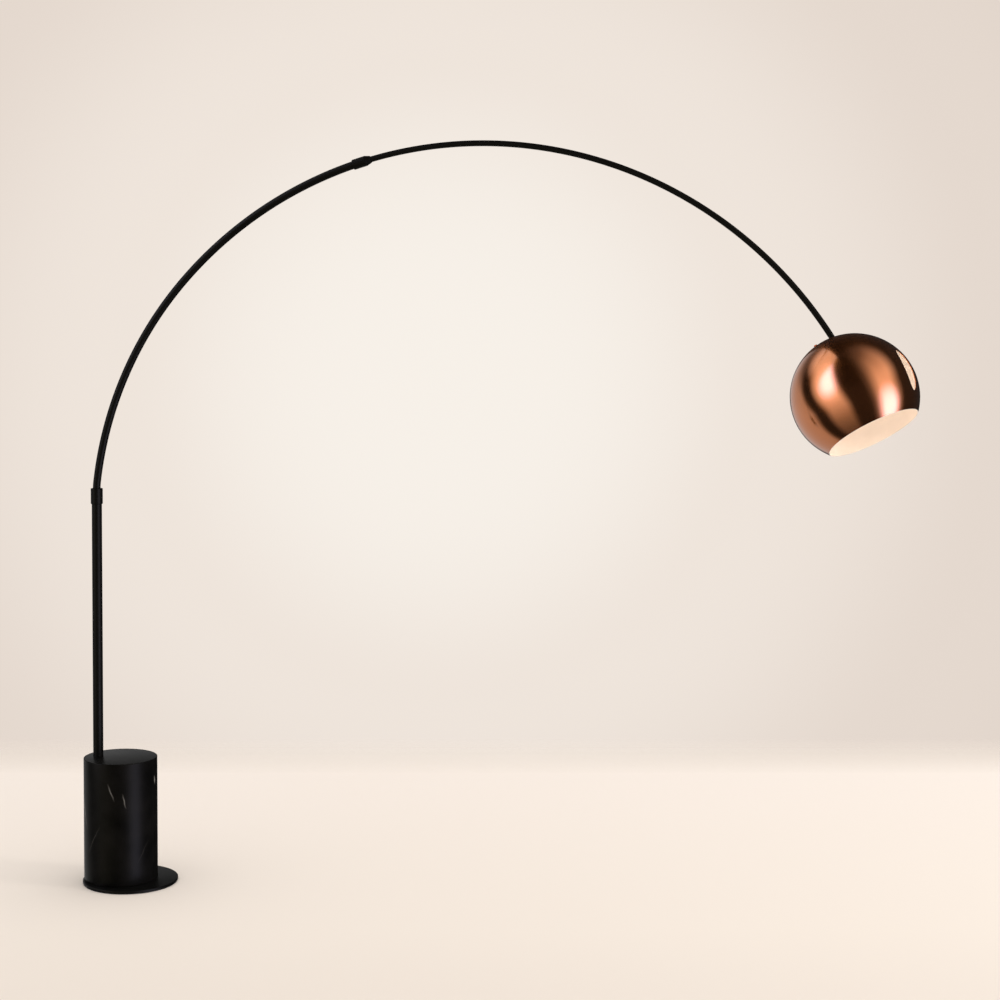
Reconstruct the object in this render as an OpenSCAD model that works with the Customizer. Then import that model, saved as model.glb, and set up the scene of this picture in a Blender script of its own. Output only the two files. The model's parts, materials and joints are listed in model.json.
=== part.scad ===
// Arc floor lamp: marble-weighted base, swivelling post, two-part telescoping arc arm and a
// ball shade on a swivel knuckle. The arc lies in the XZ plane and reaches towards +X.
// The origin is the centre of the base pad's underside.

/* [Base] */
// Diameter of the steel base plate
plate_d = 234; // [216:1:300]
// Thickness of the steel base plate
plate_t = 6.5; // [5.5:0.5:12]
// Thickness of the foam pad under the plate
pad_t = 1.5; // [1:0.5:3]
// Diameter of the marble weight
marble_d = 181; // [152:1:212]
// Height of the marble weight
marble_h = 302; // [230:1:380]
// Rounding of the marble's edges
marble_edge = 1.5; // [1:0.5:4]
// Distance from the plate's centre back to the marble's centre
marble_back = 25; // [10:1:40]

/* [Post] */
// Outside diameter of the post tube
post_d = 25; // [24.5:0.5:30]
// Wall of the post tube
post_wall = 1.5; // [1:0.1:2]
// Height of the post's top above the floor
post_top = 958; // [760:1:1150]
// Distance from the marble's centre back to the post
post_back = 59; // [46:1:60]
// Wall of the collar round the post's top
collar_wall = 2.3; // [2:0.1:5]
// Height of the collar at the post's top
collar_h = 39; // [36:1:60]

/* [Arm] */
// Outside diameter of the lower arm tube
lower_arm_d = 19; // [18.5:0.1:19.2]
// Wall of the lower arm tube
lower_arm_wall = 1.5; // [1:0.1:1.6]
// Outside diameter of the upper arm tube
upper_arm_d = 14; // [13:0.1:14.5]
// Wall of the upper arm tube
upper_arm_wall = 1; // [0.8:0.1:1.1]
// Lean that the arm takes just above the collar, in degrees
arm_lean = 7.2; // [4:0.1:10]
// Radius of the lower arm's first bend
bend_1_r = 900; // [720:1:1100]
// Angle turned by the first bend, in degrees
bend_1_angle = 34.8; // [28:0.1:40]
// Radius of the second bend, shared by both arm tubes
bend_2_r = 980; // [800:1:1200]
// Direction of the arc where the lower tube ends, in degrees from upright
joint_angle = 74; // [64:0.1:90]
// Direction of the arc where the upper tube ends, in degrees from upright
tip_angle = 147.5; // [130:0.1:155]
// Length of the upper tube held inside the lower one
insert_len = 160; // [120:1:200]
// Wall of the collar where the tubes meet, round the lower tube
joint_collar_wall = 2.9; // [2.5:0.1:5]
// Length of that collar's plain part
joint_collar_len = 32; // [28:1:50]
// Length of that collar's tapered nose
joint_nose_len = 13; // [8:1:20]

/* [Shade] */
// Diameter of the ball shade
shade_d = 286; // [270:1:350]
// Wall of the ball shade
shade_wall = 1.2; // [0.8:0.1:2]
// Diameter of the shade's lower opening
opening_d = 216; // [180:1:230]
// Length of the oval cut-out in the shade's side
cutout_len = 98; // [60:1:110]
// Width of the oval cut-out in the shade's side
cutout_w = 36; // [30:1:60]
// Distance from the shade's middle up to the knuckle
shade_drop = 122; // [118:1:124]
// Sideways distance from the shade's axis to the knuckle
shade_offset = 20; // [18:1:23]

/* [Knuckle and lampholder] */
// Diameter of the hinge bolt
hinge_d = 5; // [4:0.1:5.5]
// Thickness of the hinge tongue
tongue_t = 6; // [5:0.1:6.4]
// Distance from the arm's end to the hinge bolt
knuckle_len = 27; // [26:0.5:32]
// Outside diameter of the lampholder
holder_d = 39; // [37:0.5:46]
// Diameter of the bulb's globe
bulb_d = 60; // [50:1:70]

/* [Hidden] */

$fn = 96;
bend_fn = 720;           // steps of a full turn along a bend
slide_gap = 0.05;        // radial clearance of a sliding or turning fit
loose_gap = 0.3;         // clearance of a part that only passes through
eps = 1;                 // how far a cutting tool runs past a face
hole_gap = 0.6;          // how much wider a through hole is than its screw
hex_key = 3;             // across the corners of a small screw's hexagon socket

plate_z = pad_t;
marble_z = pad_t + plate_t;
marble_top = marble_z + marble_h;
marble_x = -marble_back;
spot_face = 1;           // depth of the flat ground into the marble for the grommet
inlet_x = marble_x - marble_d / 2 + spot_face;
post_x = marble_x - post_back;
post_bore = post_d - 2 * post_wall;
collar_d = post_d + 2 * collar_wall;
plate_edge = 1;

// base screws
insert_d = 12;
insert_len_z = 20;
screw_d = 6;
screw_ring_r = 0.66 * marble_d / 2;
screw_angles = [0, 120, 240];
head_recess = 0.5;       // depth of a screw head below the plate's underside
pad_ring = 2;            // how far the pad stays inside the plate's edge and clear of a head
screw_short = 3;         // how far a plate screw stops short of its insert's end
plate_key = 4;           // across the corners of a plate screw's hexagon socket
plate_key_depth = 2.5;
insert_relief = 2;       // depth of the marble's hole past the insert

// post foot, its bolt and the inlet for the lead
foot_h = 40;
foot_bolt_d = 8;
foot_head_d = 16;
foot_bolt_short = 6;     // how far the bolt stops short of the foot's top
foot_key = 5.5;
foot_key_depth = 3;
inlet_z = marble_z + 62;
inlet_bore = 7;
post_hole_extra = 2;     // how much wider the post's side hole is than the inlet
grommet_d = 12;
grommet_flange_d = 17;
grommet_flange_t = 2.5;
grommet_stop = 1;        // gap from the grommet's end to the post
flange_clear = 1;        // how much wider the ground spot is than the flange

// post bushes, thrust ring and collar
bush_h = 40;
bush_flange_t = 2;
bush_flange_in = 0.25;   // how far the flange stays inside the post's outside
lower_bush_gap = 30;     // distance between the two bushes
ring_t = 8;
ring_d = post_d - 1;
collar_bottom = post_top - collar_h / 2;
collar_top = collar_bottom + collar_h;
chamber_top = post_top + bush_flange_t + ring_t + 4 * slide_gap;
spigot_bottom = post_top - 2 * bush_h - lower_bush_gap - 2;
clamp_d = 4;
clamp_head_d = 8;
clamp_head_t = 2.5;
clamp_key_depth = 1.3;
head_edge = 0.6;         // rounding of a small screw's head
collar_edge = 1.6;       // rounding of the lower collar
clamp_z = post_top + bush_flange_t + ring_t / 2;

// the arm's path, in the XZ plane
lean_r = 150;            // radius of the short bend just above the collar
lean_z = collar_top - 2; // height where that bend starts
function on_bend(centre, r, a) = [centre[0] - r * cos(a), centre[1] + r * sin(a)];
function next_centre(p, r, a) = [p[0] + r * cos(a), p[1] - r * sin(a)];
bend_2_from = arm_lean + bend_1_angle;
lean_centre = [post_x + lean_r, lean_z];
bend_1_start = on_bend(lean_centre, lean_r, arm_lean);
bend_1_centre = next_centre(bend_1_start, bend_1_r, arm_lean);
bend_2_start = on_bend(bend_1_centre, bend_1_r, bend_2_from);
bend_2_centre = next_centre(bend_2_start, bend_2_r, bend_2_from);
tip_point = on_bend(bend_2_centre, bend_2_r, tip_angle);
function bend_2_deg(len) = len / bend_2_r * 180 / PI;
insert_from = joint_angle - bend_2_deg(insert_len);

lower_bore = lower_arm_d - 2 * lower_arm_wall;
joint_collar_d = lower_arm_d + 2 * joint_collar_wall;
weld_len = 3;            // length of a weld between two lengths of the tube
weld_gap = 0.1;          // distance from each length's end to the weld's middle
weld_lap = 0.2;          // how far a weld covers the wall on either side
upper_bore = upper_arm_d - 2 * upper_arm_wall;
sleeve_len = 40;
joint_bush_len = 38;
collar_over = 24;        // length of the joint collar over the lower tube
nose_d = upper_arm_d + 2.6;
nose_chamfer = 0.5;
joint_edge = 1.2;        // rounding of the joint collar's lower end
bore_lap = 5;            // how far the collar's two bores run into each other
joint_middle = joint_angle - bend_2_deg(collar_over - (joint_collar_len + joint_nose_len) / 2);
tip_bush_len = 22;
spigot_d = 10;
spigot_over = 3;         // length of the spigot past the tip bush, where the clip grips it
clip_t = 1.2;
// the bent bore leaves a straight fitting this far by the end of the spigot
tip_bow = pow(tip_bush_len + spigot_over, 2) / (2 * bend_2_r);
tip_fit_d = upper_bore - 2 * (tip_bow + slide_gap);
lead_bore = 6;

// knuckle and shade
turn_rest = -16.5;       // turn of the knuckle about the arm's end, in degrees
tilt_rest = -16.2;       // tilt of the shade at the knuckle, in degrees
tilt_most = 30;          // largest tilt either way, in degrees
barrel_d = upper_arm_d;
tongue_r = 7;
fork_gap = 0.15;         // clearance of the tongue in the fork, either side
fork_slot = tongue_t + 2 * fork_gap;
fork_over = 2;           // how far the fork's slot runs past the tongue
hinge_head_d = hinge_d + 4;
hinge_head_t = 3.2;
hinge_nut_t = 3.6;
hinge_over = 4;          // how far the bolt passes the fork to take its nut
knuckle_point = [tip_point[0] + knuckle_len * sin(tip_angle), tip_point[1] + knuckle_len * cos(tip_angle)];
shade_r = shade_d / 2;
shade_in_r = shade_r - shade_wall;
opening_z = -sqrt(shade_r * shade_r - opening_d * opening_d / 4);
cutout_angle = 94.3;     // from the crown down to the cut-out's middle, in degrees
cutout_turn = -3.7;      // of the cut-out about the shade's axis, in degrees
slot_w = barrel_d + 3;
slot_reach = (shade_r - shade_drop) * tan(tilt_most) + barrel_d / 2 / cos(tilt_most) + 1.5;
yoke_top = -14;
yoke_t = 2.5;
yoke_d = 84;
pillar_r = 32;
pillar_d = 9;
pillar_angles = [120, 240];
crown_screw_d = 4;
crown_head_d = 8;
crown_head_t = 2;
crown_head_edge = 0.8;
crown_head_lift = 1;     // how far the head's rim stands off the ball, for its curve
crown_screw_from = yoke_top + 15;
crown_hole_gap = 0.4;
// height of the shade's outside above the knuckle at the pillars
crown_z = sqrt(shade_r * shade_r - pillar_r * pillar_r) - shade_drop;

// lampholder and bulb, as depths below the yoke
cap_h = 22;
cap_neck_r = 11;
cap_neck_h = 4;          // depth where the cap's slope begins outside
cap_roof_h = 10;         // and inside
body_h = 38;
holder_wall = 2.5;
base_t = 8;
base_gap = 2;
thread_d = 28.6;
thread_wall = 0.7;
thread_len = 24;
bulb_thread_d = 26;
nipple_up = 5;           // length of the nipple above the yoke
nipple_down = 12;
nipple_nut_t = 3.5;
body_floor = 2.5;        // thickness of the body's end round the bulb
contact_d = 9;
contact_h = 2.4;
terminal_d = 3.2;        // holes for the two leads
terminal_out = 9;
tip_depth = cap_h + base_gap + base_t + 2.6;
bulb_cap_depth = tip_depth + 2;
housing_depth = cap_h + body_h + 1;
bulb_len = 108;
globe_depth = tip_depth + bulb_len - bulb_d / 2;
housing_d = 5 / 6 * bulb_d;
housing_end = globe_depth - sqrt(bulb_d * bulb_d - housing_d * housing_d) / 2;

// one quarter-round of an outline, centred at [x, y], from angle a0
function quarter(x, y, r, a0) = [for (i = [0:4]) [x + r * cos(a0 + 22.5 * i), y + r * sin(a0 + 22.5 * i)]];

// a disc or ring with rounded outer edges, standing on z = 0
module turned_ring(d_out, d_in, h, edge) {
    outline = concat([[d_in / 2, 0]], quarter(d_out / 2 - edge, edge, edge, -90),
        quarter(d_out / 2 - edge, h - edge, edge, 0), [[d_in / 2, h]]);
    rotate_extrude() polygon(outline);
}

// a round tube swept along a bend in the XZ plane; angles are from upright
module bend_tube(centre, r, from, to, d_out, d_in) {
    translate([centre[0], 0, centre[1]])
        rotate([90, 0, 0]) rotate([0, 0, 180 - to])
            rotate_extrude(angle = to - from, $fn = bend_fn) translate([r, 0]) difference() {
                circle(d = d_out, $fn = 96);
                if (d_in > 0) circle(d = d_in, $fn = 96);
            }
}

module pipe(d_out, d_in, h) {
    difference() {
        cylinder(d = d_out, h = h);
        translate([0, 0, -eps]) cylinder(d = d_in, h = h + 2 * eps);
    }
}

// places: marble's axis, post's axis, a point of the second bend, the knuckle and the shade
module at_marble() { translate([marble_x, 0, 0]) children(); }
module at_post() { translate([post_x, 0, 0]) children(); }
module at_screws() {
    at_marble() for (a = screw_angles) rotate([0, 0, a]) translate([screw_ring_r, 0, 0]) children();
}
module at_bend(a) {
    p = on_bend(bend_2_centre, bend_2_r, a);
    translate([p[0], 0, p[1]]) rotate([0, a, 0]) children();
}
module at_knuckle() {
    translate([knuckle_point[0], 0, knuckle_point[1]])
        rotate([0, tip_angle - 180, 0]) rotate([0, 0, turn_rest]) children();
}
module at_shade() { at_knuckle() rotate([tilt_rest, 0, 0]) children(); }
module at_ball() { at_shade() translate([-shade_offset, 0, -shade_drop]) children(); }
module at_holder() { at_shade() translate([-shade_offset, 0, yoke_top - yoke_t]) mirror([0, 0, 1])
    children(); }
module at_pillars() {
    at_shade() translate([-shade_offset, 0, 0])
        for (a = pillar_angles) rotate([0, 0, a]) translate([pillar_r, 0, 0]) children();
}

// ---- base ----
module countersunk(d, head_d, len) {
    cone_h = (head_d - d) / 2;
    cylinder(d1 = head_d, d2 = d, h = cone_h);
    cylinder(d = d, h = len);
}

module base_pad() {
    color("#1c1c1c") difference() {
        cylinder(d = plate_d - 2 * pad_ring, h = pad_t);
        at_screws() translate([0, 0, -eps]) cylinder(d = insert_d + 2 * pad_ring, h = pad_t + 2 * eps);
        at_post() translate([0, 0, -eps]) cylinder(d = foot_head_d + 2 * pad_ring, h = pad_t + 2 * eps);
    }
}

module base_plate() {
    color("#17171a") difference() {
        translate([0, 0, plate_z]) turned_ring(plate_d, 0, plate_t, plate_edge);
        at_screws() translate([0, 0, plate_z + head_recess])
            countersunk(screw_d + hole_gap, insert_d + hole_gap, plate_t + eps);
        at_screws() translate([0, 0, plate_z - eps]) cylinder(d = insert_d + hole_gap, h = head_recess + eps);
        at_post() translate([0, 0, plate_z + head_recess])
            countersunk(foot_bolt_d + hole_gap, foot_head_d + hole_gap, plate_t + eps);
        at_post() translate([0, 0, plate_z - eps])
            cylinder(d = foot_head_d + hole_gap, h = head_recess + eps);
    }
}

module plate_screws() {
    color("#9a9da0") at_screws() translate([0, 0, plate_z + head_recess]) difference() {
        countersunk(screw_d, insert_d, plate_t + insert_len_z - screw_short);
        translate([0, 0, -eps]) cylinder(d = plate_key, h = eps + plate_key_depth, $fn = 6);
    }
}

module marble_inserts() {
    color("#c9a14a") at_screws() translate([0, 0, marble_z]) pipe(insert_d, screw_d, insert_len_z);
}

module marble_cylinder() {
    color("#121214") difference() {
        at_marble() translate([0, 0, marble_z]) turned_ring(marble_d, 0, marble_h, marble_edge);
        at_post() translate([0, 0, marble_z - eps])
            cylinder(d = post_d + 2 * loose_gap, h = marble_h + 2 * eps);
        at_screws() translate([0, 0, marble_z - eps])
            cylinder(d = insert_d, h = insert_len_z + eps + insert_relief);
        inlet_place() translate([0, 0, -eps]) cylinder(d = grommet_d, h = marble_d / 2);
        inlet_place() translate([0, 0, -grommet_flange_d])
            cylinder(d = grommet_flange_d + flange_clear, h = grommet_flange_d);
    }
}

// the inlet's frame: origin on the marble's spot face at the back, +Z inwards along +X
module inlet_place() { translate([inlet_x, 0, inlet_z]) rotate([0, 90, 0]) children(); }
module cable_grommet() {
    depth = post_x - post_d / 2 - inlet_x - grommet_stop;
    color("#202020") inlet_place() difference() {
        union() {
            translate([0, 0, -grommet_flange_t]) cylinder(d = grommet_flange_d, h = grommet_flange_t);
            cylinder(d = grommet_d, h = depth);
        }
        translate([0, 0, -grommet_flange_t - eps])
            cylinder(d = inlet_bore, h = depth + grommet_flange_t + 2 * eps);
    }
}

// ---- post ----
module post_foot() {
    color("#8d9094") at_post() translate([0, 0, marble_z]) pipe(post_bore, foot_bolt_d, foot_h);
}

module post_bolt() {
    color("#9a9da0") at_post() translate([0, 0, plate_z + head_recess]) difference() {
        countersunk(foot_bolt_d, foot_head_d, plate_t + foot_h - foot_bolt_short);
        translate([0, 0, -eps]) cylinder(d = foot_key, h = eps + foot_key_depth, $fn = 6);
    }
}

module post_tube() {
    color("#17171a") difference() {
        at_post() translate([0, 0, marble_z]) pipe(post_d, post_bore, post_top - marble_z);
        translate([post_x - post_d, 0, inlet_z]) rotate([0, 90, 0])
            cylinder(d = inlet_bore + post_hole_extra, h = post_d);
    }
}

module post_bush_lower() {
    color("#e8e6df") at_post() translate([0, 0, post_top - 2 * bush_h - lower_bush_gap])
        pipe(post_bore, lower_arm_d + 2 * slide_gap, bush_h);
}

module post_bush_upper() {
    color("#e8e6df") at_post() translate([0, 0, post_top - bush_h]) difference() {
        union() {
            cylinder(d = post_bore, h = bush_h);
            translate([0, 0, bush_h]) cylinder(d = post_d - 2 * bush_flange_in, h = bush_flange_t);
        }
        translate([0, 0, -eps])
            cylinder(d = lower_arm_d + 2 * slide_gap, h = bush_h + bush_flange_t + 2 * eps);
    }
}

module lower_collar() {
    color("#17171a") difference() {
        at_post() translate([0, 0, collar_bottom]) turned_ring(collar_d, 0, collar_h, collar_edge);
        at_post() translate([0, 0, collar_bottom - eps])
            cylinder(d = post_d, h = chamber_top - collar_bottom + eps);
        at_post() translate([0, 0, collar_bottom])
            cylinder(d = lower_arm_d + 2 * loose_gap, h = collar_h + eps);
        at_post() translate([0, 0, clamp_z]) rotate([-90, 0, 0]) cylinder(d = clamp_d, h = collar_d);
    }
}

// a clamp screw with a round head, its tip at z = 0 and its head outwards
module clamp_screw(shank) {
    difference() {
        union() {
            cylinder(d = clamp_d, h = shank);
            translate([0, 0, shank]) turned_ring(clamp_head_d, 0, clamp_head_t, head_edge);
        }
        translate([0, 0, shank + clamp_head_t - clamp_key_depth])
            cylinder(d = hex_key, h = clamp_key_depth + eps, $fn = 6);
    }
}

module collar_screw() {
    color("#2a2a2c") at_post() translate([0, 0, clamp_z]) rotate([-90, 0, 0])
        translate([0, 0, ring_d / 2 + loose_gap]) clamp_screw((collar_d - ring_d) / 2 - loose_gap);
}

// ---- lower arm ----
// one bend of the lower tube, stopping just short of each weld
module arm_length(centre, r, from, to) {
    gap = weld_gap / r * 180 / PI;
    bend_tube(centre, r, from + gap, to - gap, lower_arm_d, lower_bore);
}

// a short ring that joins two lengths of the lower tube at point p, along direction a
module arm_weld(p, a) {
    translate([p[0], 0, p[1]]) rotate([0, a, 0]) translate([0, 0, -weld_len / 2])
        pipe(lower_arm_d + 2 * weld_lap, lower_bore - 2 * weld_lap, weld_len);
}

module lower_arm_tube() {
    color("#17171a") difference() {
        union() {
            at_post() translate([0, 0, spigot_bottom])
                pipe(lower_arm_d, lower_bore, lean_z - weld_gap - spigot_bottom);
            arm_length(lean_centre, lean_r, 0, arm_lean);
            arm_length(bend_1_centre, bend_1_r, arm_lean, bend_2_from);
            arm_length(bend_2_centre, bend_2_r, bend_2_from, joint_angle);
            arm_weld([post_x, lean_z], 0);
            arm_weld(bend_1_start, arm_lean);
            arm_weld(bend_2_start, bend_2_from);
        }
        at_joint_screw() cylinder(d = clamp_d + loose_gap, h = joint_collar_d);
    }
}

module thrust_ring() {
    color("#8d9094") at_post() translate([0, 0, post_top + bush_flange_t + slide_gap])
        pipe(ring_d, lower_arm_d, ring_t);
}

module at_joint_screw() { at_bend(joint_angle - bend_2_deg(collar_over / 2)) rotate([-90, 0, 0]) children(); }

module joint_collar() {
    outer = joint_collar_d / 2;
    end = joint_collar_len + joint_nose_len;
    outline = concat([[0, 0]], quarter(outer - joint_edge, joint_edge, joint_edge, -90),
        [[outer, joint_collar_len], [nose_d / 2 + nose_chamfer, end - 2 * nose_chamfer],
        [nose_d / 2, end], [0, end]]);
    bore_to = joint_angle + bend_2_deg(end);
    color("#17171a") difference() {
        at_bend(joint_middle) translate([0, 0, -end / 2])
            rotate_extrude() polygon(outline);
        bend_tube(bend_2_centre, bend_2_r, joint_angle - bend_2_deg(2 * collar_over), joint_angle,
            lower_arm_d, 0);
        bend_tube(bend_2_centre, bend_2_r, joint_angle - bend_2_deg(bore_lap), bore_to,
            upper_arm_d + 2 * loose_gap, 0);
        at_joint_screw() cylinder(d = clamp_d, h = joint_collar_d);
    }
}

module joint_bush() {
    color("#e8e6df") difference() {
        bend_tube(bend_2_centre, bend_2_r, joint_angle - bend_2_deg(joint_bush_len), joint_angle,
            lower_bore, upper_arm_d + 2 * slide_gap);
        at_joint_screw() cylinder(d = clamp_d + loose_gap, h = joint_collar_d);
    }
}

module joint_screw() {
    tip = upper_arm_d / 2 + loose_gap;
    color("#2a2a2c") at_joint_screw() translate([0, 0, tip]) clamp_screw(joint_collar_d / 2 - tip);
}

// ---- upper arm ----
module upper_arm_tube() {
    color("#17171a") bend_tube(bend_2_centre, bend_2_r, insert_from, tip_angle, upper_arm_d, upper_bore);
}

module guide_sleeve() {
    color("#e8e6df") bend_tube(bend_2_centre, bend_2_r, insert_from, insert_from + bend_2_deg(sleeve_len),
        lower_bore - 2 * slide_gap, upper_arm_d);
}

module tip_bush() {
    color("#c9a14a") at_bend(tip_angle) translate([0, 0, -tip_bush_len])
        pipe(tip_fit_d, spigot_d + 2 * slide_gap, tip_bush_len);
}

// ---- swivelling knuckle at the arm's tip ----
module knuckle_fork() {
    barrel_top = knuckle_len - loose_gap;
    color("#17171a") at_knuckle() difference() {
        union() {
            cylinder(d = barrel_d, h = barrel_top);
            translate([-barrel_d / 2, 0, 0]) rotate([0, 90, 0]) cylinder(r = tongue_r, h = barrel_d);
            translate([0, 0, barrel_top]) cylinder(d = spigot_d, h = tip_bush_len + spigot_over);
        }
        translate([-fork_slot / 2, -barrel_d, -barrel_d])
            cube([fork_slot, 2 * barrel_d, barrel_d + tongue_r + fork_over]);
        translate([-barrel_d, 0, 0]) rotate([0, 90, 0]) cylinder(d = hinge_d, h = 2 * barrel_d);
        cylinder(d = lead_bore, h = barrel_top + tip_bush_len + spigot_over + eps);
    }
}

module swivel_clip() {
    color("#8d9094") at_knuckle() translate([0, 0, knuckle_len + tip_bush_len + slide_gap])
        pipe(tip_fit_d, spigot_d, clip_t);
}

module hinge_bolt() {
    color("#2a2a2c") at_knuckle() rotate([0, 90, 0]) difference() {
        union() {
            translate([0, 0, -barrel_d / 2 - hinge_over]) cylinder(d = hinge_d, h = barrel_d + hinge_over);
            translate([0, 0, barrel_d / 2]) turned_ring(hinge_head_d, 0, hinge_head_t, head_edge);
        }
        translate([0, 0, barrel_d / 2 + hinge_head_t / 2]) cylinder(d = hex_key, h = hinge_head_t, $fn = 6);
    }
}

module hinge_nut() {
    color("#9a9da0") at_knuckle() rotate([0, 90, 0]) translate([0, 0, -barrel_d / 2 - hinge_nut_t])
        difference() {
        cylinder(d = hinge_head_d, h = hinge_nut_t, $fn = 6);
        translate([0, 0, -eps]) cylinder(d = hinge_d, h = hinge_nut_t + 2 * eps);
    }
}

// ---- shade ----
module shade_yoke() {
    tongue_bore = hinge_d + 2 * slide_gap;
    color("#9a9da0") difference() {
        union() {
            at_shade() translate([-tongue_t / 2, 0, 0]) rotate([0, 90, 0])
                cylinder(r = tongue_r, h = tongue_t);
            at_shade() translate([-tongue_t / 2, -tongue_r, yoke_top - yoke_t / 2])
                cube([tongue_t, 2 * tongue_r, yoke_t / 2 - yoke_top]);
            at_shade() translate([-shade_offset, 0, yoke_top - yoke_t]) cylinder(d = yoke_d, h = yoke_t);
        }
        at_shade() translate([-tongue_t, 0, 0]) rotate([0, 90, 0])
            cylinder(d = tongue_bore, h = 2 * tongue_t);
        at_holder() translate([0, 0, -yoke_t - eps]) cylinder(d = spigot_d, h = yoke_t + 2 * eps);
    }
}

module shade_pillars() {
    color("#c9a14a") difference() {
        at_pillars() translate([0, 0, yoke_top]) cylinder(d = pillar_d, h = shade_r - shade_drop - yoke_top);
        difference() {
            at_ball() cylinder(r = shade_r, h = 2 * shade_r);
            at_ball() sphere(r = shade_in_r, $fn = 180);
        }
        at_pillars() translate([0, 0, crown_screw_from]) cylinder(d = crown_screw_d, h = shade_r);
    }
}

module crown_screws() {
    color("#b5673c") at_pillars() {
        translate([0, 0, crown_screw_from])
            cylinder(d = crown_screw_d, h = crown_z + crown_head_lift - crown_screw_from);
        translate([0, 0, crown_z + crown_head_lift])
            turned_ring(crown_head_d, 0, crown_head_t, crown_head_edge);
    }
}

// an oval outline by its two diameters
module oval(len, w) { polygon([for (a = [0:5:355]) [len / 2 * cos(a), w / 2 * sin(a)]]); }

module shade() {
    color("#b5673c") difference() {
        at_ball() sphere(r = shade_r, $fn = 180);
        at_ball() sphere(r = shade_in_r, $fn = 180);
        at_ball() translate([0, 0, opening_z - shade_d]) cylinder(d = 2 * shade_d, h = shade_d);
        at_ball() rotate([0, 0, cutout_turn]) rotate([0, cutout_angle, 0]) translate([0, 0, shade_r / 2])
            linear_extrude(shade_r) oval(cutout_len, cutout_w);
        at_shade() for (side = [-1, 1]) translate([0, side * (slot_reach - slot_w / 2), 0])
            cylinder(d = slot_w, h = shade_r);
        at_shade() translate([-slot_w / 2, slot_w / 2 - slot_reach, 0])
            cube([slot_w, 2 * slot_reach - slot_w, shade_r]);
        at_pillars() cylinder(d = crown_screw_d + crown_hole_gap, h = shade_r);
    }
}

// ---- lampholder; depths run down from the yoke ----
module holder_nipple() {
    color("#c9a14a") at_holder() translate([0, 0, -yoke_t - nipple_up])
        pipe(spigot_d, lead_bore, yoke_t + nipple_up + nipple_down);
}

module nipple_nut() {
    color("#c9a14a") at_holder() translate([0, 0, -yoke_t - nipple_nut_t]) difference() {
        cylinder(d = spigot_d + 6, h = nipple_nut_t, $fn = 6);
        translate([0, 0, -eps]) cylinder(d = spigot_d, h = nipple_nut_t + 2 * eps);
    }
}

module holder_cap() {
    out_r = holder_d / 2;
    in_r = out_r - holder_wall;
    function slope(from_r, to_r, from_h, a) =
        [from_r + (to_r - from_r) * sin(a), from_h + (cap_h - from_h) * (1 - cos(a))];
    outline = concat([[spigot_d / 2, 0], [cap_neck_r, 0]],
        [for (a = [0:15:75]) slope(cap_neck_r, out_r, cap_neck_h, a)],
        [[out_r, cap_h], [in_r, cap_h]],
        [for (a = [75:-15:0]) slope(cap_neck_r - 2, in_r, cap_roof_h, a)],
        [[spigot_d / 2, cap_roof_h]]);
    color("#1c1c1c") at_holder() rotate_extrude() polygon(outline);
}

module holder_body() {
    color("#1c1c1c") at_holder() translate([0, 0, cap_h]) difference() {
        turned_ring(holder_d, 0, body_h, 1);
        translate([0, 0, -eps]) cylinder(d = holder_d - 2 * holder_wall, h = body_h - body_floor + eps);
        cylinder(d = thread_d + 1, h = body_h + eps);
    }
}

module holder_base() {
    color("#efece4") at_holder() translate([0, 0, cap_h + base_gap]) difference() {
        cylinder(d = holder_d - 2 * holder_wall - 0.2, h = base_t);
        for (side = [-1, 1]) translate([0, side * terminal_out, -eps])
            cylinder(d = terminal_d, h = base_t + 2 * eps);
    }
}

module thread_shell() {
    color("#c9a14a") at_holder() translate([0, 0, cap_h + base_gap + base_t])
        pipe(thread_d, thread_d - 2 * thread_wall, thread_len);
}

module centre_contact() {
    color("#c9a14a") at_holder() translate([0, 0, cap_h + base_gap + base_t])
        turned_ring(contact_d, 0, contact_h, 0.8);
}

module bulb_cap() {
    color("#b9bcc0") at_holder() translate([0, 0, bulb_cap_depth]) difference() {
        union() {
            cylinder(d1 = 14, d2 = bulb_thread_d - 2, h = 3);
            translate([0, 0, 3]) cylinder(d = bulb_thread_d - 1.2, h = housing_depth - bulb_cap_depth - 3);
            for (i = [0:4]) translate([0, 0, 4.2 + 3.6 * i])
                rotate_extrude() translate([bulb_thread_d / 2 - 1, 0]) circle(r = 1, $fn = 32);
        }
        translate([0, 0, 1.5]) cylinder(d = 11, h = housing_depth);
        translate([0, 0, -eps]) cylinder(d = 8, h = 4);
    }
}

module bulb_tip() {
    color("#c9a14a") at_holder() translate([0, 0, tip_depth]) turned_ring(8, 0, 4, 1.2);
}

module bulb_housing() {
    slope_h = housing_end - housing_depth;
    color("#f2f1ec") at_holder() translate([0, 0, housing_depth]) difference() {
        cylinder(d1 = bulb_thread_d + 2, d2 = housing_d, h = slope_h);
        translate([0, 0, 1.5]) cylinder(d1 = bulb_thread_d - 2, d2 = housing_d - 3, h = slope_h);
        translate([0, 0, -eps]) cylinder(d = 11, h = 4);
    }
}

module bulb_globe() {
    color("#f7f4ea") at_holder() difference() {
        translate([0, 0, globe_depth]) sphere(d = bulb_d);
        translate([0, 0, globe_depth]) sphere(d = bulb_d - 2.4);
        translate([0, 0, globe_depth - bulb_d])
            cylinder(d = 2 * bulb_d, h = housing_end - globe_depth + bulb_d);
    }
}

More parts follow.
